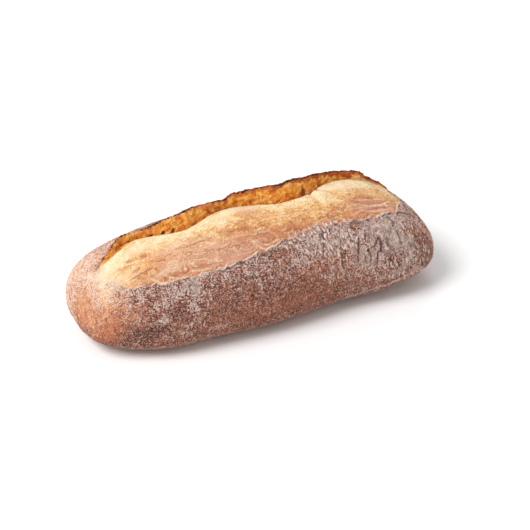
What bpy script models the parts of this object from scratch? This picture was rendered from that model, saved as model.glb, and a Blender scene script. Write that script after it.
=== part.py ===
"""A pugliese loaf: one long hearth loaf, slashed once along its top.

The loaf is a single solid. It starts as a UV sphere whose poles become the loaf's two ends. Each
point then takes its place from two labels: its station along the loaf, and its meridian round the
girth. The meridians follow the slash, so the edge of the floured skin, the bloom's crest, the
groove, the wall and the lip of the ear are all rows of edges.

X runs along the loaf, -Y is the side that the slash opens towards, +Z is up, and the origin is on
the surface that the loaf rests on, under the middle of its box. Sizes are in millimetres until the
points are placed, in metres.
"""

import math

import bmesh
import bpy
import numpy as np
from mathutils import Matrix, Vector, noise

MM = 0.001

# The plain loaf, before the slash opens.
LENGTH = 330.0
WIDTH = 145.2
CROWN = 81.5  # height of the plain loaf
BELLY = 29.3  # height where the loaf is widest
TAPER_NEAR, TAPER_FAR = 0.20, 0.13  # how much each side spreads towards the right end
FOOT_SINK = 4.2  # how far the round underside is pressed flat
WAIST_DEPTH, WAIST_PLACE, WAIST_SPREAD = 9.3, 0.39, 0.33  # the shallow waist of the near side
PLAN_LEFT, PLAN_NEAR_RIGHT, PLAN_FAR_RIGHT = 3.35, 3.75, 3.0  # how square the ends are, from above
END_LEFT, END_RIGHT = 3.55, 2.68  # how square the ends are, seen from the side
TOP_SQUARE, UNDER_SQUARE = 2.08, 2.69  # how square a section is above and below the belly

# The slash. Places are shares of the half length, from -1 at the left end to 1 at the right.
SLASH_LEFT, SLASH_RIGHT = -0.85, 0.90
CREST_LEVEL, CREST_SLOPE = 0.9, 0.235  # the crest stands higher where it lies further across
GROOVE_DEPTH = 6.0
SWELL = 1.3  # how far the bloom swells between its crest and the floured skin
SKIN_LIP = 0.6  # how far the torn edge of the floured skin stands up
LIP_WIDTH = 1.3  # thickness of the ear at its edge
EAR_FOOT, EAR_SPREAD = 3.0, 2.3  # the ear runs out behind its edge over 3 mm + 2.3 x its height

# Lines that run along the loaf, as (place, millimetres) pairs joined by a smooth curve.
CREST_LINE = ((-0.87, -2.5), (-0.76, 3.0), (-0.67, 5.8), (-0.58, 4.7), (-0.40, -1.2), (-0.32, 1.8),
              (-0.18, 9.6), (-0.10, 10.7), (0.02, 7.4), (0.19, 1.0), (0.31, 2.5), (0.43, 8.8),
              (0.51, 13.7), (0.63, 16.5), (0.76, 12.6), (0.90, 1.0))
LIP_LINE = ((-0.87, 1.5), (-0.80, 6.0), (-0.70, 10.5), (-0.55, 13.0), (-0.35, 13.0), (-0.05, 17.2),
            (0.05, 17.5), (0.24, 15.0), (0.40, 16.5), (0.56, 21.0), (0.66, 21.5), (0.76, 16.2),
            (0.86, 8.4), (0.91, 4.0))
LIP_RISE = ((-0.82, 0.0), (-0.78, 4.8), (-0.706, 9.0), (-0.60, 7.1), (-0.53, 7.5), (-0.40, 11.0),
            (-0.28, 13.2), (-0.10, 10.8), (-0.055, 14.0), (0.17, 13.4), (0.36, 14.7), (0.66, 12.2),
            (0.725, 13.0), (0.775, 8.8), (0.85, 5.3), (0.90, 0.0))
SKIN_EDGE = ((-0.87, -20.0), (-0.80, -34.6), (-0.70, -42.6), (-0.55, -47.8), (-0.30, -50.2),
             (-0.15, -48.4), (0.02, -44.0), (0.16, -39.2), (0.28, -36.2), (0.50, -39.2),
             (0.745, -37.3), (0.87, -19.5))

# Unevenness: (height, length along the loaf, length across it) of each kind of lump.
SWELLINGS = ((-101.0, -52.0, 9.0, 2.3), (92.0, -65.0, 12.0, 1.6), (-10.0, -61.0, 8.0, 1.1),
             (-161.0, -14.0, 38.0, -2.2))  # (x, y, z, height) of each
SWELLING_SPREAD = 26.0
DENTS = (0.9, 55.0, 38.0)
BLOOM_TEARS = (0.9, 26.0, 9.0)
WALL_TEARS = (0.9, 10.0, 9.0)
LIP_RAGS = (0.8, 11.0, 60.0)
NOTCH_PLACE, NOTCH_HALF, NOTCH_DEPTH = 0.385, 0.030, 2.4  # where one tear of the crest ends

# Rows of edges round the girth, from the middle of the base up the near side and back to it, and
# how many meridians lie between each row and the next.
ROWS = ("base", "skin lip", "bloom foot", "crest", "brink", "groove", "lip front", "lip back",
        "ear foot", "base again")
BETWEEN = (15, 1, 12, 1, 2, 4, 1, 10, 14)
STATIONS = 92
SECTION_STEPS = 720  # points that a plain section is measured with

CRUST_COLOUR = (0.40, 0.19, 0.09, 1.0)


def clear_scene():
    for obj in list(bpy.data.objects):
        bpy.data.objects.remove(obj)


def smooth_curve(at, value, where):
    """A smooth curve through the points (at, value) that never swings past them."""
    step = np.diff(at)
    pitch = np.diff(value) / step
    slope = np.zeros(len(at))
    same = pitch[1:] * pitch[:-1] > 0
    total = np.where(same, pitch[1:] + pitch[:-1], 1.0)
    slope[1:-1] = np.where(same, 2 * pitch[1:] * pitch[:-1] / total, 0.0)
    where = np.clip(where, at[0], at[-1])
    i = np.clip(np.searchsorted(at, where, side="right") - 1, 0, len(at) - 2)
    t = (where - at[i]) / step[i]
    eased = t * t * (3 - 2 * t)
    bend = t * (1 - t) * step[i]
    return value[i] + eased * (value[i + 1] - value[i]) + bend * (slope[i] * (1 - t) - slope[i + 1] * t)


def along(pairs, place):
    at, value = np.array(pairs, float).T
    return smooth_curve(at, value, place)


def smooth_step(low, high, value):
    t = np.clip((value - low) / (high - low), 0.0, 1.0)
    return t * t * (3 - 2 * t)


def plan_edges(place):
    """Distances from the middle plane to the plain loaf's near and far sides, seen from above."""
    rightward = smooth_step(-0.83, 0.83, place)
    edges = []
    for taper, plan_right in ((TAPER_NEAR, PLAN_NEAR_RIGHT), (TAPER_FAR, PLAN_FAR_RIGHT)):
        plan = PLAN_LEFT + (plan_right - PLAN_LEFT) * rightward
        half_width = WIDTH / 2 * (1 + taper * place)
        edges.append(half_width * (1 - np.abs(place) ** plan) ** (1 / plan))
    waist = WAIST_DEPTH * np.exp(-(((place - WAIST_PLACE) / WAIST_SPREAD) ** 2))
    return edges[0] - waist * (1 - place**8), edges[1]


def plain_section(place):
    """A section of the plain loaf: (y, z) of its points, and their distance round it from the top.

    It runs from the middle of the base up the near side, over the top and down the far side.
    """
    rightward = smooth_step(-0.83, 0.83, place)
    end = END_LEFT + (END_RIGHT - END_LEFT) * rightward
    rise = (1 - abs(place) ** end) ** (1 / end)
    near, far = plan_edges(place)
    turn = np.linspace(1.5 * math.pi, -0.5 * math.pi, SECTION_STEPS + 1)
    across, up = np.cos(turn), np.sin(turn)
    square = np.where(up >= 0, TOP_SQUARE, UNDER_SQUARE)
    reach = np.where(up >= 0, CROWN - BELLY, BELLY + FOOT_SINK)
    y = np.sign(across) * np.abs(across) ** (2 / square) * np.where(across < 0, near, far)
    z = BELLY + rise * reach * np.sign(up) * np.abs(up) ** (2 / square)
    z = np.maximum(z, 0.0)
    gone = np.concatenate([[0.0], np.cumsum(np.hypot(np.diff(y), np.diff(z)))])
    return y, z, gone - gone[SECTION_STEPS // 2]


def opening(place):
    """How far the slash is open at a place, from 0 at its ends to 1."""
    left = smooth_step(SLASH_LEFT, SLASH_LEFT + 0.12, place)
    return left * (1 - smooth_step(SLASH_RIGHT - 0.16, SLASH_RIGHT, place))


def lump(kind, along_loaf, across_loaf, layer):
    height, length, width = kind
    return height * noise.noise(Vector((along_loaf / length, across_loaf / width, layer)))


def slash_rows(place, near_girth, far_girth):
    """Arrays (meridian, arc, lift) that a section is drawn through at a place.

    The arc is where a row crosses the plain loaf, measured from the top, and the lift is how far
    the surface stands above the plain loaf there.
    """
    x = place * LENGTH / 2
    open_here = opening(place)
    edge, crest, lip = along(SKIN_EDGE, place), along(CREST_LINE, place), along(LIP_LINE, place)
    rise = along(LIP_RISE, place)
    rise += lump(LIP_RAGS, x, 0.0, 5.3) * min(1.0, rise / 5.0)
    notch = NOTCH_DEPTH * max(0.0, 1 - abs(place - NOTCH_PLACE) / NOTCH_HALF)
    level = open_here * (CREST_LEVEL + CREST_SLOPE * max(crest, 0.0) - notch)
    floor = level - open_here * GROOVE_DEPTH
    gap = lip - crest
    reach = EAR_FOOT + EAR_SPREAD * rise
    row = dict(zip(ROWS, np.cumsum((0,) + BETWEEN)))

    def part_way(first, second, share):
        return row[first] + share * (row[second] - row[first])

    foot = edge + 1.2
    return np.array((
        (row["base"], near_girth, 0.0),
        (row["skin lip"], edge - 1.2, SKIN_LIP * open_here),
        (row["bloom foot"], foot, -0.5 * SKIN_LIP * open_here),
        (part_way("bloom foot", "crest", 0.35), foot + 0.33 * (crest - foot),
         0.9 * SWELL * open_here + 0.12 * level),
        (part_way("bloom foot", "crest", 0.72), foot + 0.70 * (crest - foot),
         SWELL * open_here + 0.50 * level),
        (row["crest"], crest - 0.8, level),
        (row["brink"], crest + 1.0, level - 0.7 * open_here),
        (row["groove"], crest + 0.38 * gap, floor),
        (part_way("groove", "lip front", 0.5), crest + 0.66 * gap, 0.45 * floor + 0.45 * rise),
        (row["lip front"], lip - LIP_WIDTH / 2, rise),
        (row["lip back"], lip + LIP_WIDTH / 2, rise - 0.3 * min(1.0, rise / 5.0)),
        (part_way("lip back", "ear foot", 0.3), lip + 0.22 * reach, 0.62 * rise),
        (part_way("lip back", "ear foot", 0.6), lip + 0.52 * reach, 0.23 * rise),
        (row["ear foot"], lip + reach, 0.0),
        (row["base again"], far_girth, 0.0),
    )).T


def section_points(place, meridians):
    """The loaf's own points at one station, one for each meridian number."""
    y, z, arc = plain_section(place)
    number, row_arc, row_lift = slash_rows(place, arc[0], arc[-1])
    shrink = min(1.0, arc[-1] / 150.0)
    row_arc[1:-1] *= shrink
    at = smooth_curve(number, row_arc, meridians)
    lift = smooth_curve(number, row_lift, meridians)
    x = place * LENGTH / 2
    points = np.column_stack((np.full(len(at), x), np.interp(at, arc, y), np.interp(at, arc, z)))
    row = dict(zip(ROWS, np.cumsum((0,) + BETWEEN)))
    spine = np.array((max(-LENGTH / 2 + 60.0, min(LENGTH / 2 - 60.0, x)), 0.0, BELLY))
    outward = points - spine
    outward /= np.linalg.norm(outward, axis=1)[:, None]
    open_here = opening(place)
    swelling = sum(
        height * np.exp(-((points - centre) ** 2).sum(axis=1) / SWELLING_SPREAD**2)
        for *centre, height in SWELLINGS
    )
    for i, (m, s) in enumerate(zip(meridians, at)):
        dent = swelling[i] + lump(DENTS, x, s, 0.7)
        dent *= smooth_step(0.0, 5.0, points[i, 2])
        bloom = smooth_step(row["bloom foot"], row["bloom foot"] + 2, m)
        bloom *= 1 - smooth_step(row["crest"] - 1, row["brink"], m)
        wall = smooth_step(row["brink"], row["groove"], m)
        wall *= 1 - smooth_step(row["lip front"] - 0.5, row["lip back"] + 1, m)
        lift[i] += open_here * bloom * lump(BLOOM_TEARS, x, s, 2.1)
        points[i] += outward[i] * dent
        points[i, 1] += open_here * wall * lump(WALL_TEARS, x, lift[i], 9.4)
    points[:, 2] += lift
    return points


def station_places(count):
    """Places from one end to the other, evenly spaced along the loaf's outline seen from above."""
    place = np.sin(np.linspace(-math.pi / 2, math.pi / 2, 8001))
    half_width = plan_edges(place)[1]
    step = np.hypot(np.diff(place) * LENGTH / 2, np.diff(half_width))
    gone = np.concatenate([[0.0], np.cumsum(step)])
    return np.interp(np.linspace(0.0, gone[-1], count + 1), gone, place)


def centre_over_origin(mesh):
    spots = np.array([vert.co[:2] for vert in mesh.verts])
    middle = (spots.min(axis=0) + spots.max(axis=0)) / 2
    bmesh.ops.translate(mesh, vec=Vector((-middle[0], -middle[1], 0.0)), verts=mesh.verts)


def shape_loaf():
    """A UV sphere with its poles at the two ends, drawn out into the loaf."""
    count = sum(BETWEEN)
    mesh = bmesh.new()
    bmesh.ops.create_uvsphere(mesh, u_segments=count, v_segments=STATIONS, radius=1.0,
                              matrix=Matrix.Rotation(math.pi / 2, 4, "Y"))
    places = station_places(STATIONS)
    sections = [section_points(place, np.arange(count)) for place in places[1:-1]]
    for vert in mesh.verts:
        x, y, z = vert.co
        station = round(math.acos(max(-1.0, min(1.0, -x))) / math.pi * STATIONS)
        if 0 < station < STATIONS:
            meridian = round(math.atan2(-y, -z) / math.tau * count) % count
            vert.co = Vector(sections[station - 1][meridian]) * MM
        else:
            vert.co = Vector((places[station] * LENGTH / 2, 0.0, BELLY)) * MM
    centre_over_origin(mesh)
    bmesh.ops.triangulate(mesh, faces=mesh.faces[:], quad_method="SHORT_EDGE")
    bmesh.ops.recalc_face_normals(mesh, faces=mesh.faces[:])
    for face in mesh.faces:
        face.smooth = True
    return mesh


def crust_material():
    material = bpy.data.materials.new("crust")
    material.use_nodes = True
    shader = material.node_tree.nodes["Principled BSDF"]
    shader.inputs["Base Color"].default_value = CRUST_COLOUR
    shader.inputs["Roughness"].default_value = 0.75
    material.diffuse_color = CRUST_COLOUR
    return material


def main():
    clear_scene()
    mesh = shape_loaf()
    data = bpy.data.meshes.new("loaf")
    mesh.to_mesh(data)
    mesh.free()
    loaf = bpy.data.objects.new("loaf", data)
    data.materials.append(crust_material())
    collection = bpy.data.collections.new("pugliese_loaf")
    bpy.context.scene.collection.children.link(collection)
    collection.objects.link(loaf)


main()
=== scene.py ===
"""The looks of a pugliese loaf: its crust, bloom, torn wall and ear, on a pale floor.

The loaf's form is worked out here from the same sizes and by the same rows as its solid, on a finer
net, and then gets the relief that the solid is too coarse for. Lengths are in millimetres until a
piece is made, in metres. X runs along the loaf, -Y is the side that the slash opens towards.
"""

import math

import bpy
import numpy as np
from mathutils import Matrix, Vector, noise


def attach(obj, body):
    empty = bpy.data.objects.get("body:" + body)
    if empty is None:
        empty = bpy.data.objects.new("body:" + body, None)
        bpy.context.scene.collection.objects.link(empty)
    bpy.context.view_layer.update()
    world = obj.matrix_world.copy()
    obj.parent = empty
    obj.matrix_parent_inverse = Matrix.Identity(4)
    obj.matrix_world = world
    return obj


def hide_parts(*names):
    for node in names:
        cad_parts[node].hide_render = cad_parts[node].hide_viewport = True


MM = 0.001

# The plain loaf, before the slash opens.
LENGTH = 330.0
WIDTH = 145.2
CROWN = 81.5
BELLY = 29.3
TAPER_NEAR, TAPER_FAR = 0.20, 0.13
FOOT_SINK = 4.2
WAIST_DEPTH, WAIST_PLACE, WAIST_SPREAD = 9.3, 0.39, 0.33
PLAN_LEFT, PLAN_NEAR_RIGHT, PLAN_FAR_RIGHT = 3.35, 3.75, 3.0
END_LEFT, END_RIGHT = 3.55, 2.68
TOP_SQUARE, UNDER_SQUARE = 2.08, 2.69
HAND_OVER = 0.83  # the left end's shape gives way to the right end's between minus this and this place
SPINE_FROM_END = 60.0

# The slash. Places are shares of the half length, from -1 at the left end to 1 at the right.
SLASH_LEFT, SLASH_RIGHT = -0.85, 0.90
OPENS_OVER, CLOSES_OVER = 0.12, 0.16
CREST_LEVEL, CREST_SLOPE = 0.9, 0.235
GROOVE_DEPTH = 6.0
SWELL = 1.3
SKIN_LIP, SKIN_LIP_HALF = 0.6, 1.2
LIP_WIDTH = 1.3
EAR_FOOT, EAR_SPREAD = 3.0, 2.3
FULL_RISE = 5.0  # a lip lower than this has less of its rags
FULL_GIRTH = 150.0  # where the far side is shorter round than this, the slash's rows draw together

# The slash's lines, as (place, value). CREST_LINE, LIP_LINE and SKIN_EDGE give an arc: the distance
# round the loaf from its top, less than 0 on the near side. LIP_RISE gives a height. All but
# LIP_LINE start from points picked in the photograph.
CREST_LINE = ((-0.87, -2.5), (-0.76, 3.0), (-0.67, 5.8), (-0.58, 4.7), (-0.40, -1.2), (-0.32, 1.8),
              (-0.18, 9.6), (-0.10, 10.7), (0.02, 7.4), (0.19, 1.0), (0.31, 2.5), (0.43, 8.8),
              (0.51, 13.7), (0.63, 16.5), (0.76, 12.6), (0.90, 1.0))
LIP_LINE = ((-0.87, 1.5), (-0.80, 6.0), (-0.70, 10.5), (-0.55, 13.0), (-0.35, 13.0), (-0.05, 17.2),
            (0.05, 17.5), (0.24, 15.0), (0.40, 16.5), (0.56, 21.0), (0.66, 21.5), (0.76, 16.2),
            (0.86, 8.4), (0.91, 4.0))
LIP_RISE = ((-0.82, 0.0), (-0.78, 4.8), (-0.706, 9.0), (-0.60, 7.1), (-0.53, 7.5), (-0.40, 11.0),
            (-0.28, 13.2), (-0.10, 10.8), (-0.055, 14.0), (0.17, 13.4), (0.36, 14.7), (0.66, 12.2),
            (0.725, 13.0), (0.775, 8.8), (0.85, 5.3), (0.90, 0.0))
SKIN_EDGE = ((-0.87, -20.0), (-0.80, -34.6), (-0.70, -42.6), (-0.55, -47.8), (-0.30, -50.2),
             (-0.15, -48.4), (0.02, -44.0), (0.16, -39.2), (0.28, -36.2), (0.50, -39.2),
             (0.745, -37.3), (0.87, -19.5))

# Broad swellings and one hollow: (x, y, z, height) of each.
SWELLINGS = ((-101.0, -52.0, 9.0, 2.3), (92.0, -65.0, 12.0, 1.6), (-10.0, -61.0, 8.0, 1.1),
             (-161.0, -14.0, 38.0, -2.2))
SWELLING_SPREAD = 26.0

# Unevenness: (height, length along the loaf, length across it) of each kind of lump.
DENTS = (0.9, 55.0, 38.0)
BLOOM_TEARS = (0.9, 26.0, 9.0)
WALL_TEARS = (0.9, 10.0, 9.0)
LIP_RAGS = (0.8, 11.0, 60.0)

# The notch in the bloom's crest.
NOTCH_PLACE, NOTCH_HALF, NOTCH_DEPTH = 0.385, 0.030, 2.4

# Finer unevenness than the solid has, of the same three measures.
LIP_CHIPS = ((0.55, 3.6, 60.0), (0.45, 1.5, 60.0))
EDGE_RAGS = ((2.6, 21.0, 60.0), (1.2, 6.5, 60.0), (0.7, 2.6, 60.0))
EDGE_STEP, EDGE_STEP_LENGTH = 2.2, 17.0  # the skin tore in steps of this height and length

# The rows that every section is drawn through, and the number of the meridian that each lies on.
ROWS = ("base", "skin lip", "bloom foot", "crest", "brink", "groove", "lip front", "lip back",
        "ear foot", "base again")
ROW = dict(zip(ROWS, (0, 15, 16, 28, 29, 31, 35, 36, 46, 60)))
SECTION_STEPS = 720

# The net: how many steps it takes from one meridian number to another, and along the loaf.
NET_STEPS = ((0, 6, 14), (6, 10, 78), (10, 15, 98), (15, 16, 6), (16, 28, 108), (28, 29, 5), (29, 31, 10),
             (31, 35, 30), (35, 36, 4), (36, 46, 40), (46, 54, 80), (54, 60, 12))
NET_STATIONS = 700
# The pieces that the net is cut into, from one meridian number to another.
CUTS = (("near_low", 0, 10), ("near_high", 10, 15), ("bloom", 15, 29), ("ear", 29, 46), ("far_side", 46, 60))

# Marks on the crust, as (x, arc, half length, half height, strength). A strength below 0 takes away.
FLOUR_PATCHES = (
    (-72, -49, 9, 6, 0.9), (-86, -54, 14, 5, 0.25), (-80, -64, 4.5, 10, 0.9), (-101, -56, 6, 6, 0.4),
    (-111, -75, 5, 5, 1.3), (-97, -92, 5, 4, 0.9), (-63, -100, 5, 3, 0.8), (-55, -51, 8, 4, 0.4),
    (-35, -52, 12, 4, 0.3), (-84, -80, 4.5, 8, 0.9), (-116, -58, 13, 14, -0.35), (-140, -104, 10, 3, 0.7),
    (0, -51, 15, 7, -0.5), (16, -64, 24, 9, 0.3), (32, -52, 12, 10, 0.6), (40, -87, 4, 6, 0.7),
    (58, -56, 16, 13, 0.7), (100, -52, 16, 12, 0.9), (106, -64, 14, 9, 0.9), (80, -74, 14, 8, 0.9),
    (97, -96, 15, 3, 0.9), (119, -76, 5, 13, 0.7), (90, -84, 26, 10, 0.5), (138, -70, 8, 14, -0.3),
    (128, -42, 14, 9, 0.4), (-40, -82, 44, 16, -0.4), (20, -88, 24, 12, -0.35), (133, -96, 8, 5, 0.6),
    (-150, 20, 18, 24, 0.5), (-164, -22, 6, 18, -0.9), (-155, -52, 8, 16, -0.8), (-146, -70, 9, 10, -0.7),
    (-146, -34, 12, 12, 0.1), (-123, -80, 14, 9, -0.5), (-116, 21, 24, 9, 0.4), (145, -44, 6, 10, 0.5),
    (-97, -72, 8, 9, -0.5), (-66, -88, 14, 9, -0.2), (-58, -68, 10, 10, -0.25), (72, -47, 8, 4, -0.5),
    (98, -45, 9, 4, -0.5), (-114, -60, 4, 4, 0.3),
)
BAKED_PATCHES = (
    (-123, -80, 15, 9, 0.18), (-144, -24, 16, 11, -0.08), (-141, -84, 16, 16, 0.24),
    (-160, -52, 12, 20, 0.08), (-134, -36, 12, 10, -0.04), (140, -74, 8, 20, 0.10),
    (-10, -86, 50, 12, 0.02), (-146, 18, 22, 24, -0.10), (-114, 21, 20, 9, -0.16), (2, -53, 20, 8, 0.08),
    (44, -70, 20, 12, -0.06), (-97, -74, 8, 8, 0.14), (-58, -92, 14, 12, -0.07), (82, -80, 5, 5, 0.06),
    (-151, -66, 10, 12, 0.10),
)
BROWNED_PATCHES = (
    (20, -34, 22, 6, 0.8), (107, -22, 17, 6, 0.8), (104, -33, 20, 4, 0.6), (35, -43, 14, 4, 0.5),
    (-8, -40, 13, 5, 0.4), (63, -29, 14, 5, 0.4), (-18, -21, 6, 2, 0.5), (-78, -22, 9, 1.6, 0.5),
    (-121, -16, 7, 2, 0.35), (-62, -37, 22, 4, 0.2), (-35, -38, 14, 5, 0.2), (76, -12, 12, 5, -0.5),
    (-44, -8, 20, 5, -0.3), (-105, -30, 18, 6, -0.3), (-1, -5, 13, 7, 0.8), (60, -2, 6, 3, 0.4),
    (-5, -37, 8, 5, 0.7), (64, -38, 12, 4, 0.5), (-18, -45, 24, 4, 0.5), (30, -14, 14, 6, 0.3),
    (-84, -40, 12, 5, 0.3), (-5, -37, 7, 4, 0.5),
)
PALE_PATCHES = (
    (-144, -14, 10, 10, 0.6), (-136, -27, 13, 8, 0.55), (-124, -10, 15, 5, 0.4), (-104, -6, 20, 5, 0.6),
    (-68, -2, 20, 3, 0.5), (-20, 3, 26, 3, 0.4), (-33, -7, 6, 4, 0.5), (80, 5, 22, 6, 0.4),
    (64, -6, 6, 4, 0.5), (104, 2, 22, 6, 0.4), (-100, -38, 20, 3, 0.3), (-78, -17, 7, 4, 0.3),
)
ROSY_PATCHES = (
    (-70, -34, 34, 10, 1.0), (-92, -20, 12, 4, 0.5), (104, -24, 24, 11, 0.7), (120, -30, 20, 7, 0.8),
    (-36, -40, 24, 12, 0.9), (-6, -38, 12, 9, 0.4), (-70, -20, 20, 7, 0.7), (-4, -1, 11, 8, 0.8),
    (-90, -34, 12, 6, 0.7), (-50, -46, 12, 6, 1.0),
)
FOXY_PATCHES = (
    (-152, -60, 9, 13, 0.7), (-164, -17, 5, 14, 0.6), (-40, -97, 36, 7, 0.3), (52, -72, 22, 14, 0.25),
    (124, -98, 16, 5, 0.4), (10, -98, 30, 6, 0.25), (72, -90, 44, 16, 0.14), (14, -84, 30, 12, 0.12),
)
FLECKED_PATCHES = (
    (52, -54, 36, 18, 1.1), (128, -52, 12, 12, 1.0), (141, -76, 7, 18, 0.7), (12, -48, 14, 6, 0.6),
    (40, -84, 30, 14, 0.5), (112, -100, 16, 6, 0.8), (46, -39, 30, 5, 0.9), (-84, -88, 26, 12, 0.6),
    (100, -84, 26, 14, 0.6), (128, -86, 14, 14, 0.6), (-30, -98, 30, 8, 0.4),
)
PITS = (
    (-91, 8.6, 4.0, 1.0, 1.0), (-79, 7.4, 2.4, 0.9, 1.0), (-70, 6.6, 2.2, 0.9, 1.0),
    (60, 10.5, 3.0, 3.0, 1.0), (71, 8.5, 2.6, 1.4, 0.7),
)
WRINKLED = (92.0, -68.0, 36.0, 22.0)  # where the skin is wrinkled up and down

# Lines on the crust: the (x, arc) points that each runs through, its half width and its strength.
CREASES = (
    (((96, -61), (96, -65), (94, -72)), 1.4, 1.0), (((95, -61), (90, -67), (84, -69), (81, -70)), 1.0, 1.0),
    (((77, -58), (73, -68), (70, -77)), 1.0, 1.0), (((82, -70), (83, -77), (81, -80)), 1.0, 1.0),
    (((90, -74), (87, -83)), 0.9, 0.9), (((115, -41), (117, -47), (115, -52)), 1.1, 0.9),
    (((48, -44), (43, -56), (38, -67)), 0.9, 0.8),
    (((60, -50), (57, -64), (55.5, -76), (57, -89)), 0.9, 0.7), (((86, -52), (83, -60)), 0.8, 0.8),
    (((61, -65), (58, -75)), 0.9, 0.8), (((102, -73), (100, -84)), 0.8, 0.7),
    (((116, -58), (115, -70)), 0.9, 0.7), (((117, -38.5), (128, -36.5), (139, -36), (146, -38)), 0.8, 0.9),
    (((76, -43), (88, -44)), 1.5, 0.6), (((-40, -51.5), (-34, -52)), 1.2, 0.8),
    (((-16, -51), (-10, -52)), 1.2, 0.6),
)
FLOUR_LINES = (
    (((57, -50), (54, -64), (52, -76), (54, -89), (56, -98)), 1.2, 1.0),
    (((127, -62), (126, -71), (122, -79), (115, -87), (108, -94), (101, -98)), 2.3, 1.1),
    (((98, -106), (110, -103), (116, -99), (134, -94)), 1.5, 1.1),
    (((55, -115), (72, -109), (98, -106)), 1.5, 0.9), (((128, -75), (131, -86), (131, -98)), 1.0, 0.9),
    (((138, -63), (140, -72), (137, -84)), 1.0, 0.8),
)
FURROWS = (
    (((-83, -21), (-70, -23), (-60, -22), (-48, -22)), 1.0, 0.8),
    (((-21, -21), (-17, -20), (-15, -22)), 1.2, 1.0), (((-2, -42), (1, -41), (4, -38)), 1.1, 0.9),
    (((-124, -15), (-118, -16)), 0.9, 0.8), (((-121, -26), (-117, -26)), 1.3, 1.0),
    (((-92, -9), (-90, -9)), 0.9, 0.7), (((-142, -1), (-143, -4)), 0.9, 0.9),
    (((92, -19), (98, -15), (104, -14), (112, -18)), 1.7, 0.8),
    (((92, -33), (106, -30), (121, -29)), 1.0, 0.8), (((96, -24), (110, -23.5), (124, -26)), 0.9, 0.8),
    (((-100, -42), (-90, -43.5)), 0.9, 0.6), (((69, 8), (73, 5), (79, 0)), 1.2, 0.8),
    (((-10, -38), (-4, -40), (0, -37)), 1.3, 0.7), (((-34, -24), (-28, -23)), 0.9, 0.6),
    (((18, -34), (26, -35.5), (34, -36)), 1.0, 0.7),
)
RIDGES = (
    (((67, 4), (66.5, 8), (65.5, 11.5)), 1.5, 1.0), (((72, 4), (74, -1), (78, -5)), 0.9, 0.7),
    (((-16, -36), (-13, -43), (-9, -46), (-2, -46), (4, -44)), 0.9, 0.9),
    (((-12, -30), (-6, -29), (2, -30), (6, -34), (7, -38)), 0.7, 0.5),
    (((-13, -36), (-11, -40), (-5, -42.5), (1, -41)), 0.6, 0.5),
    (((-77, -45), (-68, -47), (-61, -48)), 0.7, 0.8),
    (((83, -33), (95, -30.5), (107, -33), (126, -31.5)), 0.7, 0.6),
    (((93, -22), (103, -27), (116, -27), (128, -23)), 0.7, 0.6),
    (((-111, -38), (-104, -46), (-99, -48)), 0.8, 0.8), (((-100, -40), (-93, -45), (-86, -48)), 0.7, 0.7),
)
TEARS = ((((-145, -2), (-141, 1), (-137, 3), (-131, 7)), 1.9, 0.6),)

# How thick the charred edge of the ear is, as (place, millimetres).
CHAR_LINE = ((-0.84, -0.6), (-0.80, 0.0), (-0.70, 0.5), (-0.62, 0.1), (-0.52, 1.2), (-0.42, 0.6),
             (-0.33, 1.2), (-0.24, 0.3), (-0.12, 0.7), (0.0, 0.8), (0.15, 0.9), (0.25, 1.9), (0.31, 1.2),
             (0.40, 1.1), (0.55, 1.0), (0.66, 0.4), (0.75, 1.0), (0.86, 0.8))
# How far down the torn wall its browner rim reaches, as (place, millimetres).
RIM_LINE = ((-0.84, 1.4), (-0.60, 1.8), (-0.40, 2.0), (-0.20, 3.0), (0.0, 3.8), (0.20, 4.2), (0.40, 4.4),
            (0.55, 4.4), (0.70, 5.4), (0.88, 5.0))


def smooth_curve(at, value, where):
    """A smooth curve through the points (at, value) that never swings past them."""
    step = np.diff(at)
    pitch = np.diff(value) / step
    slope = np.zeros(len(at))
    same = pitch[1:] * pitch[:-1] > 0
    total = np.where(same, pitch[1:] + pitch[:-1], 1.0)
    slope[1:-1] = np.where(same, 2 * pitch[1:] * pitch[:-1] / total, 0.0)
    where = np.clip(where, at[0], at[-1])
    i = np.clip(np.searchsorted(at, where, side="right") - 1, 0, len(at) - 2)
    t = (where - at[i]) / step[i]
    eased = t * t * (3 - 2 * t)
    bend = t * (1 - t) * step[i]
    return value[i] + eased * (value[i + 1] - value[i]) + bend * (slope[i] * (1 - t) - slope[i + 1] * t)


def along(pairs, place):
    """The value at a place, on the smooth curve through a line of (place, value)."""
    at, value = np.array(pairs, float).T
    return smooth_curve(at, value, place)


def smooth_step(low, high, value):
    """0 where value is at low, 1 where it is at high, level beyond both and smooth between."""
    t = np.clip((value - low) / (high - low), 0.0, 1.0)
    return t * t * (3 - 2 * t)


def plan_edges(place):
    """Distances from the middle plane to the plain loaf's near and far sides, seen from above."""
    rightward = smooth_step(-HAND_OVER, HAND_OVER, place)
    edges = []
    for taper, plan_right in ((TAPER_NEAR, PLAN_NEAR_RIGHT), (TAPER_FAR, PLAN_FAR_RIGHT)):
        plan = PLAN_LEFT + (plan_right - PLAN_LEFT) * rightward
        half_width = WIDTH / 2 * (1 + taper * place)
        edges.append(half_width * (1 - np.abs(place) ** plan) ** (1 / plan))
    waist = WAIST_DEPTH * np.exp(-(((place - WAIST_PLACE) / WAIST_SPREAD) ** 2))
    return edges[0] - waist * (1 - place**8), edges[1]


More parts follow.
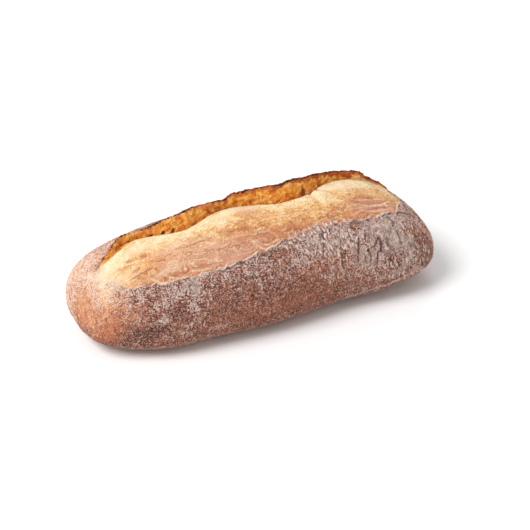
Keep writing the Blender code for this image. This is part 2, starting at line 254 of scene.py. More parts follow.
def plain_section(place):
    """A section of the plain loaf: (y, z) of its points, and their distance round it from the top."""
    rightward = smooth_step(-HAND_OVER, HAND_OVER, place)
    end = END_LEFT + (END_RIGHT - END_LEFT) * rightward
    rise = (1 - abs(place) ** end) ** (1 / end)
    near, far = plan_edges(place)
    turn = np.linspace(1.5 * math.pi, -0.5 * math.pi, SECTION_STEPS + 1)
    across, up = np.cos(turn), np.sin(turn)
    square = np.where(up >= 0, TOP_SQUARE, UNDER_SQUARE)
    reach = np.where(up >= 0, CROWN - BELLY, BELLY + FOOT_SINK)
    y = np.sign(across) * np.abs(across) ** (2 / square) * np.where(across < 0, near, far)
    z = BELLY + rise * reach * np.sign(up) * np.abs(up) ** (2 / square)
    z = np.maximum(z, 0.0)
    gone = np.concatenate([[0.0], np.cumsum(np.hypot(np.diff(y), np.diff(z)))])
    return y, z, gone - gone[SECTION_STEPS // 2]


def opening(place):
    """How far the slash is open at a place, from 0 at its ends to 1."""
    left = smooth_step(SLASH_LEFT, SLASH_LEFT + OPENS_OVER, place)
    return left * (1 - smooth_step(SLASH_RIGHT - CLOSES_OVER, SLASH_RIGHT, place))


def noise_field(a, b, c):
    """Smooth noise, from -1 to 1, at each point of three arrays of coordinates."""
    a, b, c = np.broadcast_arrays(a, b, c)
    spots = zip(a.ravel().tolist(), b.ravel().tolist(), c.ravel().tolist())
    return np.array([noise.noise(Vector(spot)) for spot in spots]).reshape(a.shape)


def lumps(kind, along_loaf, across_loaf, layer):
    """The height of one kind of lump at each point, from its own layer of the noise."""
    height, length, width = kind
    return height * noise_field(along_loaf / length, across_loaf / width, layer)


def skin_edge(place):
    """The arc of the floured skin's torn edge, with its rags."""
    x = place * LENGTH / 2
    rags = sum(lumps(kind, x, 0.0, 3.1 + 2 * i) for i, kind in enumerate(EDGE_RAGS))
    stage = (x / EDGE_STEP_LENGTH + 0.7 * noise_field(x / 23.0, 0.0, 13.0)) % 1.0
    rags = rags + EDGE_STEP * (stage - 0.5 - smooth_step(0.88, 1.0, stage))
    return along(SKIN_EDGE, place) + rags * opening(place)


def slash_rows(place, near_girth, far_girth):
    """Arrays (meridian, arc, lift) that a section is drawn through at a place, as in the solid."""
    x = place * LENGTH / 2
    open_here = opening(place)
    edge, crest, lip = skin_edge(place), along(CREST_LINE, place), along(LIP_LINE, place)
    rise = along(LIP_RISE, place)
    rags = lumps(LIP_RAGS, x, 0.0, 5.3)
    rags += sum(lumps(kind, x, 0.0, 8.3 + 2 * i) for i, kind in enumerate(LIP_CHIPS))
    rise += rags * min(1.0, rise / FULL_RISE)
    notch = NOTCH_DEPTH * max(0.0, 1 - abs(place - NOTCH_PLACE) / NOTCH_HALF)
    level = open_here * (CREST_LEVEL + CREST_SLOPE * max(crest, 0.0) - notch)
    floor = level - open_here * GROOVE_DEPTH
    gap = lip - crest
    reach = EAR_FOOT + EAR_SPREAD * rise
    foot = edge + SKIN_LIP_HALF

    def part_way(first, second, share):
        return ROW[first] + share * (ROW[second] - ROW[first])

    return np.array((
        (ROW["base"], near_girth, 0.0),
        (ROW["skin lip"], edge - SKIN_LIP_HALF, SKIN_LIP * open_here),
        (ROW["bloom foot"], foot, -0.5 * SKIN_LIP * open_here),
        (part_way("bloom foot", "crest", 0.35), foot + 0.33 * (crest - foot),
         0.9 * SWELL * open_here + 0.12 * level),
        (part_way("bloom foot", "crest", 0.72), foot + 0.70 * (crest - foot),
         SWELL * open_here + 0.50 * level),
        (ROW["crest"], crest - 0.8, level),
        (ROW["brink"], crest + 1.0, level - 0.7 * open_here),
        (ROW["groove"], crest + 0.38 * gap, floor),
        (part_way("groove", "lip front", 0.5), crest + 0.66 * gap, 0.45 * floor + 0.45 * rise),
        (ROW["lip front"], lip - LIP_WIDTH / 2, rise),
        (ROW["lip back"], lip + LIP_WIDTH / 2, rise - 0.3 * min(1.0, rise / FULL_RISE)),
        (part_way("lip back", "ear foot", 0.3), lip + 0.22 * reach, 0.62 * rise),
        (part_way("lip back", "ear foot", 0.6), lip + 0.52 * reach, 0.23 * rise),
        (ROW["ear foot"], lip + reach, 0.0),
        (ROW["base again"], far_girth, 0.0),
    )).T


def section_points(place, meridians):
    """The loaf's points at one station, and the arc of each on the plain loaf."""
    y, z, arc = plain_section(place)
    number, row_arc, row_lift = slash_rows(place, arc[0], arc[-1])
    row_arc[1:-1] *= min(1.0, arc[-1] / FULL_GIRTH)
    at = smooth_curve(number, row_arc, meridians)
    lift = smooth_curve(number, row_lift, meridians)
    x = place * LENGTH / 2
    points = np.column_stack((np.full(len(at), x), np.interp(at, arc, y), np.interp(at, arc, z)))
    spine_x = max(-LENGTH / 2 + SPINE_FROM_END, min(LENGTH / 2 - SPINE_FROM_END, x))
    spine = np.array((spine_x, 0.0, BELLY))
    outward = points - spine
    outward /= np.linalg.norm(outward, axis=1)[:, None]
    dent = lumps(DENTS, x, at, 0.7)
    for *centre, height in SWELLINGS:
        dent += height * np.exp(-((points - centre) ** 2).sum(axis=1) / SWELLING_SPREAD**2)
    dent *= smooth_step(0.0, 5.0, points[:, 2])
    bloom = smooth_step(ROW["bloom foot"], ROW["bloom foot"] + 2, meridians)
    bloom *= 1 - smooth_step(ROW["crest"] - 1, ROW["brink"], meridians)
    wall = smooth_step(ROW["brink"], ROW["groove"], meridians)
    wall *= 1 - smooth_step(ROW["lip front"] - 0.5, ROW["lip back"] + 1, meridians)
    open_here = opening(place)
    points += outward * dent[:, None]
    points[:, 1] += open_here * wall * lumps(WALL_TEARS, x, lift, 9.4)
    points[:, 2] += lift + open_here * bloom * lumps(BLOOM_TEARS, x, at, 2.1)
    return points, at


def station_places(count):
    """Places from one end to the other, evenly spaced along the loaf's outline seen from above."""
    place = np.sin(np.linspace(-math.pi / 2, math.pi / 2, 8001))
    half_width = plan_edges(place)[1]
    step = np.hypot(np.diff(place) * LENGTH / 2, np.diff(half_width))
    gone = np.concatenate([[0.0], np.cumsum(step)])
    return np.interp(np.linspace(0.0, gone[-1], count + 1), gone, place)


class Net:
    """The loaf's surface as a net of points, stations by meridians, with what is known of each."""

    def __init__(self):
        self.meridians = np.concatenate(
            [np.linspace(a, b, steps, endpoint=False) for a, b, steps in NET_STEPS]
        )
        self.places = station_places(NET_STATIONS)[1:-1]
        sections = [section_points(place, self.meridians) for place in self.places]
        self.points = np.array([points for points, arc in sections])
        self.arc = np.array([arc for points, arc in sections])
        self.poles = np.array(((-LENGTH / 2, 0.0, BELLY), (LENGTH / 2, 0.0, BELLY)))
        low, high = self.points.min(axis=(0, 1)), self.points.max(axis=(0, 1))
        self.middle = np.array((*(low + high)[:2] / 2, 0.0))

    def column(self, row):
        """The index of the meridian that a named row lies on."""
        return int(np.argmin(np.abs(self.meridians - ROW[row])))

    def normals(self):
        """The outward direction at each point, from the points around it."""
        along_loaf = np.gradient(self.points, axis=0)
        round_it = np.roll(self.points, -1, axis=1) - np.roll(self.points, 1, axis=1)
        normal = np.cross(along_loaf, round_it)
        length = np.linalg.norm(normal, axis=2, keepdims=True)
        return normal / np.maximum(length, 1e-9)


def spot_mask(x, arc, spot):
    """1 in the middle of an oval spot, falling to 0 outside it."""
    middle, level, half_length, half_height = spot[:4]
    return np.exp(-(((x - middle) / half_length) ** 2) - ((arc - level) / half_height) ** 2)


def covering(spots, x, arc):
    """How strongly a list of spots covers each point."""
    return sum(spot[4] * spot_mask(x, arc, spot) for spot in spots)


def share_covered(spots, x, arc):
    """How strongly a list of spots covers each point, kept between 0 and 1."""
    return np.clip(covering(spots, x, arc), 0.0, 1.0)


def line_mask(x, arc, line):
    """A line's strength along the points that it runs through, falling to 0 beside it."""
    points, half_width, strength = line
    spots = np.array(points, float)
    nearest = np.full(x.shape, 99.0)
    for start, end in zip(spots[:-1], spots[1:]):
        run = end - start
        share = np.clip(((x - start[0]) * run[0] + (arc - start[1]) * run[1]) / (run @ run), 0.0, 1.0)
        off = np.hypot(x - start[0] - share * run[0], arc - start[1] - share * run[1])
        nearest = np.minimum(nearest, off)
    wander = 0.7 * noise_field(x / 2.2, arc / 2.2, 83.0)
    return strength * np.exp(-((nearest / half_width + wander) ** 2))


def marked(lines, x, arc):
    """How strongly a list of lines marks each point."""
    return sum(line_mask(x, arc, line) for line in lines)


def slash_cover(net, edge, crest, ends, frayed):
    """The shares of each point that are bloom and torn wall, and how far up the wall it is."""
    x = net.points[:, :, 0]
    place, meridian = net.places[:, None], net.meridians[None, :]
    fray = 7.0 * noise_field(x / 5.0, net.arc / 9.0, 61.0) + 3.4 * noise_field(x / 2.2, net.arc / 3.4, 63.0)
    inside = (net.arc - edge + frayed * fray) / (0.35 + 3.6 * frayed)
    inside = smooth_step(-1.0, 1.0, inside) * ends
    over_crest = smooth_step(ROW["crest"] + 0.3, ROW["brink"] + 0.3, meridian)
    bloom = inside * (1 - over_crest)
    gash = crest - 3.0 * np.exp(-(((x + 124.0) / 13.0) ** 2)) + 0.8 * noise_field(x / 3.0, 0.0, 67.0)
    wall = np.maximum(over_crest, smooth_step(-0.6, 0.6, net.arc - gash) * smooth_step(-104.0, -112.0, x))
    wall = wall * (1 - smooth_step(ROW["lip front"] + 0.2, ROW["lip back"], meridian))
    wall = wall * smooth_step(-0.86, -0.83, place) * (1 - smooth_step(0.87, 0.90, place))
    up_wall = smooth_step(ROW["groove"], ROW["lip front"], meridian)
    healed = wall * smooth_step(0.66, 0.80, place) * smooth_step(0.85, 0.50, up_wall)
    return bloom + healed * ends, wall - healed, up_wall


def flour_cover(net, edge):
    """How much flour lies on each point of the skin."""
    x, y, z = np.moveaxis(net.points, 2, 0)
    below = np.clip(edge - net.arc, 0.0, 99.0)
    rightward = smooth_step(-20.0, 70.0, x)
    flour = 0.24 + 0.34 * np.exp(-((below / 19.0) ** 2)) + 0.50 * smooth_step(16.0, 3.0, z)
    flour += 0.65 * smooth_step(148.0, 162.0, x)
    flour -= 0.34 * smooth_step(54.0, 30.0, z) * (1 - 0.4 * rightward)
    flour += (0.14 + 0.30 * rightward) * noise_field(x / 2.6, net.arc / 13.0, 91.0)
    flour += 0.58 * noise_field(x / 7.0, y / 7.0, z / 7.0 + 93)
    flour += 0.50 * smooth_step(0.12, 0.50, noise_field(x / 3.4, net.arc / 4.4, 94.0))
    flour += 0.32 * noise_field(x / 21.0, y / 15.0, z / 15.0 + 0.5)
    flour += covering(FLOUR_PATCHES, x, net.arc) + marked(FLOUR_LINES, x, net.arc)
    return np.clip(flour, 0.0, 1.4)


def toast_and_light_cover(net):
    """How baked each skin point is, 0 pale to 1 dark; painted light pales its left end and bottom edge."""
    x, y, z = np.moveaxis(net.points, 2, 0)
    drift = 9.0 * noise_field(x / 17.0, y / 17.0, z / 17.0 + 98)
    # Paler towards the left end: partly a lighter bake, partly painted light on the lit end.
    leftward = smooth_step(-112.0 + 38.0 * smooth_step(4.0, 50.0, net.arc), -158.0, x + drift)
    toast_and_light = 0.70 - 0.38 * leftward * smooth_step(4.0, 34.0, z + 0.15 * (x + 165.0))
    toast_and_light += 0.12 * noise_field(x / 9.0, net.arc / 16.0, 97.0) + covering(BAKED_PATCHES, x, net.arc)
    toast_and_light += 0.18 * noise_field(x / 3.4, y / 3.4, z / 3.4 + 99)
    # Paler towards the right end, and paler towards the bottom edge as painted light bounced up from the
    # floor.
    toast_and_light -= 0.14 * smooth_step(110.0, 160.0, x) + 0.24 * smooth_step(17.0, 3.0, z)
    return toast_and_light


def edge_marks(net, edge, ends, frayed):
    """The pale line along the skin's torn edge, and the shadow broken into the skin below it."""
    x = net.points[:, :, 0]
    torn = ends * (net.meridians[None, :] < ROW["crest"])
    line = np.exp(-(((net.arc - edge) / 0.7) ** 2)) * torn
    line *= smooth_step(-0.45, 0.10, noise_field(x / 8.0, 0.0, 77.0)) * (1 - 0.9 * frayed)
    line *= smooth_step(-134.0, -122.0, x)
    under = np.exp(-(((net.arc - edge + 2.2) / 1.2) ** 2)) * torn
    under *= 0.6 * smooth_step(-0.05, 0.35, noise_field(x / 5.0, net.arc / 5.0, 79.0)) * (1 - frayed)
    under *= smooth_step(-128.0, -110.0, x)
    return line, under


def describe(net):
    """What covers each point: shares and strengths, mostly from 0 to 1, and millimetres."""
    x = net.points[:, :, 0]
    arc = net.arc
    place, meridian = net.places[:, None], net.meridians[None, :]
    edge = np.array([skin_edge(p) for p in net.places])[:, None]
    crest = along(CREST_LINE, net.places)[:, None]
    rise = np.clip(along(LIP_RISE, net.places), 0.0, None)[:, None]
    lip = net.points[:, [net.column("lip front"), net.column("lip back")]]
    from_lip = np.linalg.norm(net.points[:, :, None] - lip[:, None], axis=3).min(axis=2)

    ends = smooth_step(-0.92, -0.82, place) * (1 - smooth_step(0.865, 0.885, place))
    frayed = smooth_step(4.0, 30.0, x) * (1 - smooth_step(66.0, 84.0, x))
    bloom, wall, up_wall = slash_cover(net, edge, crest, ends, frayed)
    line, under = edge_marks(net, edge, ends, frayed)
    standing = smooth_step(0.6, 3.0, rise)
    behind = smooth_step(ROW["lip front"] + 0.2, ROW["lip back"], meridian)
    beyond = behind * (1 - smooth_step(ROW["ear foot"] - 4, ROW["ear foot"], meridian))

    fleck = noise_field(x / 1.6, arc / 5.0, 92.0) + 0.5 * noise_field(x / 1.1, arc / 2.0, 95.0)
    fleck *= share_covered(FLECKED_PATCHES, x, arc)
    # Creases, the grooves between flecks and the shadow under the torn edge are coloured dark: partly their
    # own colour, partly painted shade.
    creases = marked(CREASES, x, arc) + 0.5 * smooth_step(-0.15, -0.50, fleck) + under
    ragged = 0.25 * noise_field(x / 1.5, arc / 1.5, 87.0)
    pits = sum(spot[4] * smooth_step(0.35, 0.8, spot_mask(x, arc, spot) + ragged) for spot in PITS)
    about = {
        "bloom": bloom,
        "wall": wall,
        "up_wall": up_wall,
        "from_lip": np.where(meridian > ROW["crest"], from_lip, 99.0) + 99.0 * (1 - standing),
        "char_depth": along(CHAR_LINE, place),
        "rim_depth": along(RIM_LINE, place),
        "ear_back": beyond * standing * smooth_step(-124.0, -104.0, x),
        "along": (place + 1) / 2,
        "from_crest": np.clip(crest - arc, 0.0, 80.0),
        "edge_line": line,
        "toast_and_light": toast_and_light_cover(net),
        "flour": flour_cover(net, edge),
        "browned": covering(BROWNED_PATCHES, x, arc),
        # Pits and tears are sunk and also coloured dark as painted shade.
        "pit": np.clip(pits + marked(TEARS, x, arc), 0.0, 1.0),
        "pale": share_covered(PALE_PATCHES, x, arc) * (1 - wall),
        "rosy": share_covered(ROSY_PATCHES, x, arc),
        "foxy": share_covered(FOXY_PATCHES, x, arc),
        "flecks": smooth_step(0.10, 0.42, fleck) * (1 - wall),
        "ridge": marked(RIDGES, x, arc),
        "crease": creases * (1 - bloom) * (1 - wall),
        "furrow": marked(FURROWS, x, arc) * bloom,
        "wrinkled": spot_mask(x, arc, WRINKLED) * (1 - bloom),
    }
    return {name: np.broadcast_to(values, x.shape) for name, values in about.items()}


def add_relief(net, about):
    """Moves the net's points in and out, and notes where the surface is raised and where it sinks."""
    x, y, z = np.moveaxis(net.points, 2, 0)
    arc = net.arc
    bloom, wall = about["bloom"], about["wall"]
    skin = (1 - bloom) * (1 - wall)
    blisters = 2.4 * np.abs(noise_field(x / 1.9, y / 1.9, z / 1.9)) - 0.6
    goose = noise_field(x / 5.0, y / 5.0, z / 5.0 + 40)
    broad = noise_field(x / 13, y / 13, z / 13 + 80)
    crinkled = noise_field(x / 4.6 + 0.7 * goose, arc / 16.0 + 0.5 * broad, 21.0)
    wrinkles = smooth_step(0.15, 0.0, np.abs(crinkled)) * about.pop("wrinkled")
    wrinkles *= smooth_step(-0.35, 0.25, goose + broad)
    stretch = noise_field(x / 12.0 + 0.9 * goose, arc / 4.0 + 0.8 * broad, 31.0)
    folds = noise_field(x / 26.0, arc / 4.4 + 0.4 * broad, 33.0)
    ribs = noise_field(x / 2.2 + 0.5 * goose, z / 9.0, 51.0)
    crags = noise_field(x / 5.4, y / 4.2, z / 3.4 + 60)
    shreds = np.abs(noise_field(x / 2.6, y / 1.6, z / 1.6 + 70))
    lower = smooth_step(2.0, 26.0, about["from_crest"] + 6 * goose + 8 * broad) * bloom
    crackle = smooth_step(0.13, 0.0, np.abs(stretch)) * smooth_step(-0.20, 0.20, folds + 0.5 * goose)
    furrow = np.clip(about["furrow"] + 0.9 * lower * crackle, 0.0, 1.0)
    beside = lower * smooth_step(0.13, 0.20, stretch) * smooth_step(0.34, 0.24, stretch)
    ridge = np.clip(about["ridge"] + 0.8 * beside, 0.0, 1.0)
    height = skin * (0.40 * blisters + 0.36 * goose + 0.40 * broad - 1.0 * wrinkles)
    height += bloom * (0.42 * folds + 0.18 * goose + 0.18 * blisters) - 0.60 * furrow + 0.35 * ridge
    height += about["flecks"] * 0.15 - about["crease"] * 1.2
    height += wall * (0.30 * ribs + 0.80 * crags + 0.9 * (shreds - 0.25))
    height -= about["pit"] * 1.6
    raised = skin * (blisters + 0.4 * goose) + bloom * (0.5 * blisters + 0.5 * folds)
    about["raised"] = raised + wall * (0.8 * crags + 0.3 * ribs + 1.6 * (shreds - 0.25))
    # The wrinkles' grooves are coloured dark like the creases: painted shade.
    about["crease"] = np.clip(about["crease"] + 0.7 * wrinkles * skin, 0.0, 1.0)
    about["furrow"], about["ridge"] = furrow, ridge
    net.points += net.normals() * (height * smooth_step(0.0, 4.0, z))[:, :, None]


def make_piece(net, normals, about, name, first, last, material):
    """One piece of the loaf's surface, from one meridian number to another, over its whole length."""
    columns = np.flatnonzero((net.meridians >= first - 1e-6) & (net.meridians <= last + 1e-6))
    if last > net.meridians[-1]:
        columns = np.append(columns, 0)
    stations, width = len(net.places), len(columns)
    points = np.vstack((net.points[:, columns].reshape(-1, 3), net.poles)) - net.middle
    index = np.arange(stations * width).reshape(stations, width)
    quads = np.stack((index[:-1, :-1], index[1:, :-1], index[1:, 1:], index[:-1, 1:]), axis=-1)
    left, right = stations * width, stations * width + 1
    faces = quads.reshape(-1, 4).tolist()
    faces += [(left, index[0, i], index[0, i + 1]) for i in range(width - 1)]
    faces += [(index[-1, i], right, index[-1, i + 1]) for i in range(width - 1)]
    mesh = bpy.data.meshes.new(name)
    mesh.from_pydata((points * MM).tolist(), [], faces)
    mesh.polygons.foreach_set("use_smooth", [True] * len(mesh.polygons))
    for what, values in about.items():
        layer = mesh.attributes.new(what, "FLOAT", "POINT")
        at_poles = values[[0, -1]][:, columns].mean(axis=1)
        layer.data.foreach_set("value", np.append(values[:, columns].ravel(), at_poles))
    out = np.vstack((normals[:, columns].reshape(-1, 3), ((-1, 0, 0), (1, 0, 0))))
    mesh.normals_split_custom_set_from_vertices(out.tolist())
    mesh.materials.append(material)
    piece = bpy.data.objects.new(name, mesh)
    bpy.context.scene.collection.objects.link(piece)
    return piece


def paint(red, green, blue):
    """A colour as a screen shows it, 0 to 255, turned into the linear one that shaders take."""
    shown = np.array((red, green, blue)) / 255
    linear = np.where(shown <= 0.04045, shown / 12.92, ((shown + 0.055) / 1.055) ** 2.4)
    return (*linear.tolist(), 1.0)


# The crust's colours. Tones are colours at values from 0 to 1, blended between them.
SKIN_TONES = (
    (0.02, paint(230, 196, 158)), (0.28, paint(213, 148, 104)), (0.52, paint(175, 107, 79)),
    (0.75, paint(141, 80, 58)), (0.98, paint(76, 40, 30)),
)
THIN_FLOUR_TONES = ((0.22, paint(226, 182, 142)), (0.62, paint(204, 154, 134)))
THICK_FLOUR_TONES = (
    (0.22, paint(228, 206, 188)), (0.44, paint(224, 194, 176)), (0.68, paint(224, 196, 185)),
)
BLOOM_TONES = (
    (0.02, paint(244, 227, 190)), (0.16, paint(241, 208, 147)), (0.38, paint(236, 184, 110)),
    (0.64, paint(222, 154, 92)), (0.95, paint(192, 118, 74)),
)
WALL_TONES = (
    (0.18, paint(146, 56, 12)), (0.38, paint(234, 130, 34)), (0.56, paint(252, 177, 74)),
    (0.76, paint(255, 226, 156)),
)
RIM_TONES = ((0.34, paint(230, 142, 98)), (0.50, paint(214, 112, 58)), (0.72, paint(176, 74, 34)))
CAKED_DARK, CAKED_LIGHT = paint(124, 98, 86), paint(216, 195, 182)
# The dark of the creases is partly their own colour, partly painted shade.
FOXY, CREASE_SHADE = paint(188, 102, 56), paint(78, 48, 38)
ROSY, BROWN_GRAIN = paint(219, 168, 145), paint(206, 132, 78)
PALE_SPECK, BROWN_SPECK = paint(255, 244, 216), paint(204, 134, 84)
# The colour at the foot of the torn wall is painted shade in the groove.
FURROW, GROOVE_SHADE, EAR_BACK = paint(178, 100, 60), paint(166, 80, 28), paint(104, 54, 34)
PALE, FLECK, EDGE_LINE = paint(250, 234, 204), paint(242, 218, 206), paint(250, 232, 214)
# The pits' colour is painted shade.
RIDGE, CHAR, PIT_SHADE = paint(254, 226, 190), paint(66, 34, 22), paint(132, 64, 26)

MOTTLE_SIZE, GRAIN_SIZE, SPECK_SIZE = 4.5, 1.1, 0.7  # of the noise in the colours, in millimetres
WIDE, NARROW = (0.30, 0.70), (0.34, 0.66)  # what most of the noise lies between
CRUST_ROUGHNESS, CRUST_SPECULAR = 0.78, 0.35
BUMP_STRENGTH, BUMP_HEIGHT = 0.8, 1.2  # the height in millimetres


class Nodes:
    """Short ways to add nodes to a material."""

    def __init__(self, name):
        self.material = bpy.data.materials.new(name)
        self.material.use_nodes = True
        self.tree = self.material.node_tree
        self.shader = self.tree.nodes["Principled BSDF"]
        place = self.tree.nodes.new("ShaderNodeTexCoord")
        self.place = place.outputs["Object"]

    def feed(self, socket, value):
        if isinstance(value, bpy.types.NodeSocket):
            self.tree.links.new(value, socket)
        else:
            socket.default_value = value

    def known(self, name):
        """What describe() says of each point under this name."""
        node = self.tree.nodes.new("ShaderNodeAttribute")
        node.attribute_name = name
        return node.outputs["Fac"]

    def calculate(self, kind, first, second):
        node = self.tree.nodes.new("ShaderNodeMath")
        node.operation = kind
        self.feed(node.inputs[0], first)
        self.feed(node.inputs[1], second)
        return node.outputs[0]

    def plus(self, first, second):
        return self.calculate("ADD", first, second)

    def minus(self, first, second):
        return self.calculate("SUBTRACT", first, second)

    def times(self, first, second):
        return self.calculate("MULTIPLY", first, second)

    def noise(self, size, detail=2.0, roughness=0.5):
        """Noise from 0 to 1, mostly from 0.3 to 0.7, in lumps of this many millimetres."""
        node = self.tree.nodes.new("ShaderNodeTexNoise")
        self.feed(node.inputs["Vector"], self.place)
        node.inputs["Scale"].default_value = 1 / (size * MM)
        node.inputs["Detail"].default_value = detail
        node.inputs["Roughness"].default_value = roughness
        return node.outputs["Fac"]

    def fade(self, value, low, high, to_low=0.0, to_high=1.0):
        """to_low where value is at low, to_high where it is at high, and smooth between."""
        node = self.tree.nodes.new("ShaderNodeMapRange")
        node.interpolation_type = "SMOOTHSTEP"
        self.feed(node.inputs["Value"], value)
        for name, number in (("From Min", low), ("From Max", high), ("To Min", to_low), ("To Max", to_high)):
            node.inputs[name].default_value = number
        return node.outputs["Result"]

    def ramp(self, value, stops):
        """A colour read along a list of (value, colour) stops."""
        node = self.tree.nodes.new("ShaderNodeValToRGB")
        self.feed(node.inputs["Fac"], value)
        elements = node.color_ramp.elements
        while len(elements) < len(stops):
            elements.new(0.5)
        for element, (at, colour) in zip(elements, stops):
            element.position = at
            element.color = colour
        return node.outputs["Color"]

    def blend(self, share, under, over):
        node = self.tree.nodes.new("ShaderNodeMix")
        node.data_type = "RGBA"
        colours = [socket for socket in node.inputs if socket.type == "RGBA"]
        self.feed(node.inputs[0], share)
        self.feed(colours[0], under)
        self.feed(colours[1], over)
        return next(socket for socket in node.outputs if socket.type == "RGBA")

    def mark(self, name, strength, under, over):
        """A colour laid over another where describe() knows of a mark by this name."""
        return self.blend(self.times(self.known(name), strength), under, over)


def skin_colour(nodes, mottle, grain, speck):
    """The floured skin: peach where least baked or painted lighter, to dark red-brown, under flour."""
    raised, toast_and_light = nodes.known("raised"), nodes.known("toast_and_light")
    baked = nodes.plus(toast_and_light, nodes.fade(mottle, *WIDE, 0.20, -0.12))
    spotted = nodes.times(nodes.fade(speck, *NARROW, 0.40, -0.20), nodes.fade(toast_and_light, 0.25, 0.60, 0.4, 1.0))
    baked = nodes.plus(baked, spotted)
    # Darker where the relief sinks and lighter where it rises: painted shade and light.
    baked = nodes.minus(baked, nodes.times(raised, 0.10))
    colour = nodes.ramp(baked, SKIN_TONES)
    thin = nodes.ramp(toast_and_light, THIN_FLOUR_TONES)
    thick = nodes.ramp(toast_and_light, THICK_FLOUR_TONES)
    dust = nodes.blend(nodes.fade(nodes.known("flour"), -0.30, 0.70), thin, thick)
    lying = nodes.times(nodes.fade(grain, *NARROW, -0.70, 0.70), nodes.fade(mottle, *WIDE, 1.3, 0.7))
    lying = nodes.plus(lying, nodes.fade(nodes.noise(2.4, 1.0, 0.5), 0.32, 0.68, -0.34, 0.34))
    lying = nodes.plus(lying, nodes.times(nodes.known("flour"), 0.66))
    # More dust on the relief's tops: partly flour, partly painted light.
    lying = nodes.plus(lying, nodes.times(raised, 0.10))
    lying = nodes.plus(lying, nodes.fade(speck, *NARROW, -0.40, 0.40))
    colour = nodes.blend(nodes.fade(lying, -0.05, 1.05, 0.0, 0.92), colour, dust)
    cake = nodes.blend(nodes.fade(mottle, *NARROW), CAKED_DARK, CAKED_LIGHT)
    caked = nodes.times(nodes.fade(nodes.known("flour"), 0.70, 1.30, 0.0, 0.6), nodes.fade(toast_and_light, 0.42, 0.60))
    colour = nodes.blend(caked, colour, cake)
    foxy = nodes.times(nodes.known("foxy"), nodes.fade(speck, *WIDE, 0.9, 0.4))
    colour = nodes.blend(foxy, colour, FOXY)
    # Dark in the creases: partly their own colour, partly painted shade.
    return nodes.mark("crease", 0.8, colour, CREASE_SHADE)


def bloom_colour(nodes, mottle, grain, speck):
    """The opened bloom: pale cream at its crest, golden below, rosy and browned towards its foot."""
    depth = nodes.plus(nodes.known("from_crest"), nodes.fade(mottle, *WIDE, -8.0, 8.0))
    depth = nodes.plus(depth, nodes.times(nodes.known("browned"), 24.0))
    depth = nodes.plus(depth, nodes.fade(nodes.noise(11.0, 2.0, 0.5), *WIDE, -9.0, 9.0))
    depth = nodes.plus(depth, nodes.fade(grain, *NARROW, -14.0, 14.0))
    colour = nodes.ramp(nodes.times(depth, 0.02), BLOOM_TONES)
    rosy = nodes.times(nodes.known("rosy"), nodes.fade(mottle, *WIDE, 0.85, 0.40))
    colour = nodes.blend(rosy, colour, ROSY)
    # Browner grain where the relief sinks: grain with painted shade.
    grain_and_shade = nodes.minus(grain, nodes.times(nodes.known("raised"), 0.06))
    colour = nodes.blend(nodes.fade(grain_and_shade, 0.58, 0.70, 0.0, 0.5), colour, BROWN_GRAIN)
    colour = nodes.blend(nodes.fade(speck, 0.42, 0.30, 0.0, 0.5), colour, PALE_SPECK)
    colour = nodes.blend(nodes.fade(speck, 0.58, 0.70, 0.0, 0.5), colour, BROWN_SPECK)
    return nodes.mark("furrow", 0.75, colour, FURROW)


def wall_colour(nodes, mottle, grain):
    """The torn wall under the ear: amber, brown in its hollows as painted shade, pale on its torn crumb."""
    # The relief darkens the hollows and lightens the tops: painted shade and light.
    depth = nodes.plus(mottle, nodes.times(nodes.known("raised"), 0.13))
    depth = nodes.plus(depth, nodes.fade(grain, *NARROW, -0.06, 0.06))
    colour = nodes.ramp(depth, WALL_TONES)
    # Darker towards the groove at the wall's foot: painted shade.
    foot = nodes.fade(nodes.known("up_wall"), 0.24, 0.06, 0.0, 0.5)
    colour = nodes.blend(foot, colour, GROOVE_SHADE)
    rim = nodes.minus(nodes.known("from_lip"), nodes.known("rim_depth"))
    rim = nodes.plus(rim, nodes.fade(mottle, *WIDE, -2.0, 2.0))
    rind = nodes.ramp(nodes.known("along"), RIM_TONES)
    return nodes.blend(nodes.fade(rim, 1.0, -1.0, 0.0, 0.85), colour, rind)


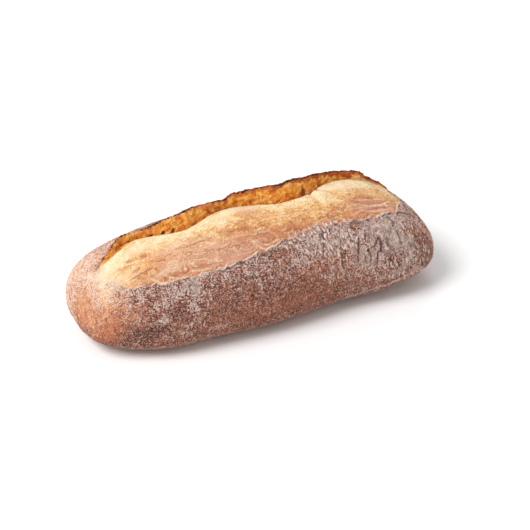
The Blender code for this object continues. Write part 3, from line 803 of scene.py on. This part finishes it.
def crust_material():
    """One material for the whole crust: the marks are laid over each other, the char almost last."""
    nodes = Nodes("crust")
    mottle = nodes.noise(MOTTLE_SIZE, 4.0, 0.6)
    grain = nodes.noise(GRAIN_SIZE, 1.0, 0.5)
    speck = nodes.noise(SPECK_SIZE, 1.0, 0.5)
    bloom, wall = nodes.known("bloom"), nodes.known("wall")
    colour = skin_colour(nodes, mottle, grain, speck)
    back = nodes.times(nodes.known("ear_back"), nodes.fade(mottle, *WIDE, 0.4, 0.9))
    colour = nodes.blend(back, colour, EAR_BACK)
    colour = nodes.blend(bloom, colour, bloom_colour(nodes, mottle, grain, speck))
    pale = nodes.times(nodes.known("pale"), nodes.fade(grain, *WIDE, 0.5, 1.0))
    colour = nodes.blend(pale, colour, PALE)
    colour = nodes.mark("flecks", 0.8, colour, FLECK)
    colour = nodes.mark("edge_line", 0.65, colour, EDGE_LINE)
    colour = nodes.blend(wall, colour, wall_colour(nodes, mottle, grain))
    colour = nodes.mark("ridge", 0.65, colour, RIDGE)
    charred = nodes.minus(nodes.known("from_lip"), nodes.known("char_depth"))
    charred = nodes.plus(charred, nodes.fade(grain, *WIDE, -0.9, 0.9))
    charred = nodes.plus(charred, nodes.fade(mottle, *WIDE, -0.5, 0.5))
    colour = nodes.blend(nodes.fade(charred, 0.6, -0.4), colour, CHAR)
    # Dark in the pits and tears: painted shade.
    colour = nodes.mark("pit", 0.8, colour, PIT_SHADE)
    nodes.feed(nodes.shader.inputs["Base Color"], colour)
    nodes.shader.inputs["Roughness"].default_value = CRUST_ROUGHNESS
    nodes.shader.inputs["Specular IOR Level"].default_value = CRUST_SPECULAR
    bump = nodes.tree.nodes.new("ShaderNodeBump")
    bump.inputs["Strength"].default_value = BUMP_STRENGTH
    bump.inputs["Distance"].default_value = BUMP_HEIGHT * MM
    nodes.feed(bump.inputs["Height"], nodes.plus(grain, nodes.times(speck, 0.6)))
    nodes.feed(nodes.shader.inputs["Normal"], bump.outputs["Normal"])
    return nodes.material


def make_loaf():
    """Makes the loaf's pieces, and gives back the net that they were cut from."""
    net = Net()
    about = describe(net)
    add_relief(net, about)
    normals = net.normals()
    material = crust_material()
    for name, first, last in CUTS:
        piece = make_piece(net, normals, about, name, first, last, material)
        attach(piece, "root")
        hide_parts("loaf")
    return net


# The camera, the floor and the lights, in metres, degrees and watts.
CAMERA_AZIMUTH, CAMERA_ELEVATION = -28.5, 31.0
CAMERA_DISTANCE = 1.25
AIM_HEIGHT = 0.040
LENS, SENSOR = 97.2, 36.0  # millimetres
SHIFT_X, SHIFT_Y = 0.0277, -0.0207
CLIP_NEAR, CLIP_FAR = 0.05, 20.0
FLOOR_SIZE, FLOOR_COLOUR, FLOOR_ROUGHNESS = 8.0, (0.94, 0.94, 0.94, 1.0), 0.9
SKY_STRENGTH = 0.58
LAMPS = (  # name, azimuth, elevation, distance, size, power
    ("key", -88.0, 50.0, 2.8, 1.7, 66.0),
    ("back", 150.0, 40.0, 1.6, 0.8, 4.0),
)


def towards(azimuth, elevation):
    """The direction from the loaf to something seen at these angles from its front."""
    a, e = math.radians(azimuth), math.radians(elevation)
    return Vector((math.sin(a) * math.cos(e), -math.cos(a) * math.cos(e), math.sin(e)))


def make_floor():
    half = FLOOR_SIZE / 2
    mesh = bpy.data.meshes.new("floor")
    corners = [(-half, -half, 0), (half, -half, 0), (half, half, 0), (-half, half, 0)]
    mesh.from_pydata(corners, [], [(0, 1, 2, 3)])
    nodes = Nodes("floor")
    nodes.shader.inputs["Base Color"].default_value = FLOOR_COLOUR
    nodes.shader.inputs["Roughness"].default_value = FLOOR_ROUGHNESS
    mesh.materials.append(nodes.material)
    floor = bpy.data.objects.new("floor", mesh)
    bpy.context.scene.collection.objects.link(floor)


def make_light(name, azimuth, elevation, distance, size, power):
    lamp = bpy.data.lights.new(name, "AREA")
    lamp.shape = "DISK"
    lamp.size = size
    lamp.energy = power
    light = bpy.data.objects.new(name, lamp)
    direction = towards(azimuth, elevation)
    light.location = direction * distance
    light.rotation_euler = direction.to_track_quat("Z", "Y").to_euler()
    bpy.context.scene.collection.objects.link(light)


def make_lights():
    world = bpy.data.worlds.new("studio")
    world.use_nodes = True
    background = world.node_tree.nodes["Background"]
    background.inputs["Color"].default_value = (1.0, 1.0, 1.0, 1.0)
    background.inputs["Strength"].default_value = SKY_STRENGTH
    bpy.context.scene.world = world
    for lamp in LAMPS:
        make_light(*lamp)
    bpy.context.scene.view_settings.view_transform = "Standard"


def make_camera(net):
    data = bpy.data.cameras.new("camera")
    data.lens = LENS
    data.sensor_width = SENSOR
    data.shift_x, data.shift_y = SHIFT_X, SHIFT_Y
    data.clip_start, data.clip_end = CLIP_NEAR, CLIP_FAR
    camera = bpy.data.objects.new("camera", data)
    aim = Vector((*(-net.middle[:2] * MM), AIM_HEIGHT))
    direction = towards(CAMERA_AZIMUTH, CAMERA_ELEVATION)
    camera.location = aim + direction * CAMERA_DISTANCE
    camera.rotation_euler = direction.to_track_quat("Z", "Y").to_euler()
    bpy.context.scene.collection.objects.link(camera)
    bpy.context.scene.camera = camera


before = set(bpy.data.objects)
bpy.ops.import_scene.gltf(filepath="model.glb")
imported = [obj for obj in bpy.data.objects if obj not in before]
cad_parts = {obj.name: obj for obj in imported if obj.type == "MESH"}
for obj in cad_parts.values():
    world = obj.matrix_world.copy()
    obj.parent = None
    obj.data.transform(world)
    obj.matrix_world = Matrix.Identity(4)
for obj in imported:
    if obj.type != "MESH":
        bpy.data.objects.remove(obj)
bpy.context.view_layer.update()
loaf = make_loaf()
make_floor()
make_lights()
make_camera(loaf)
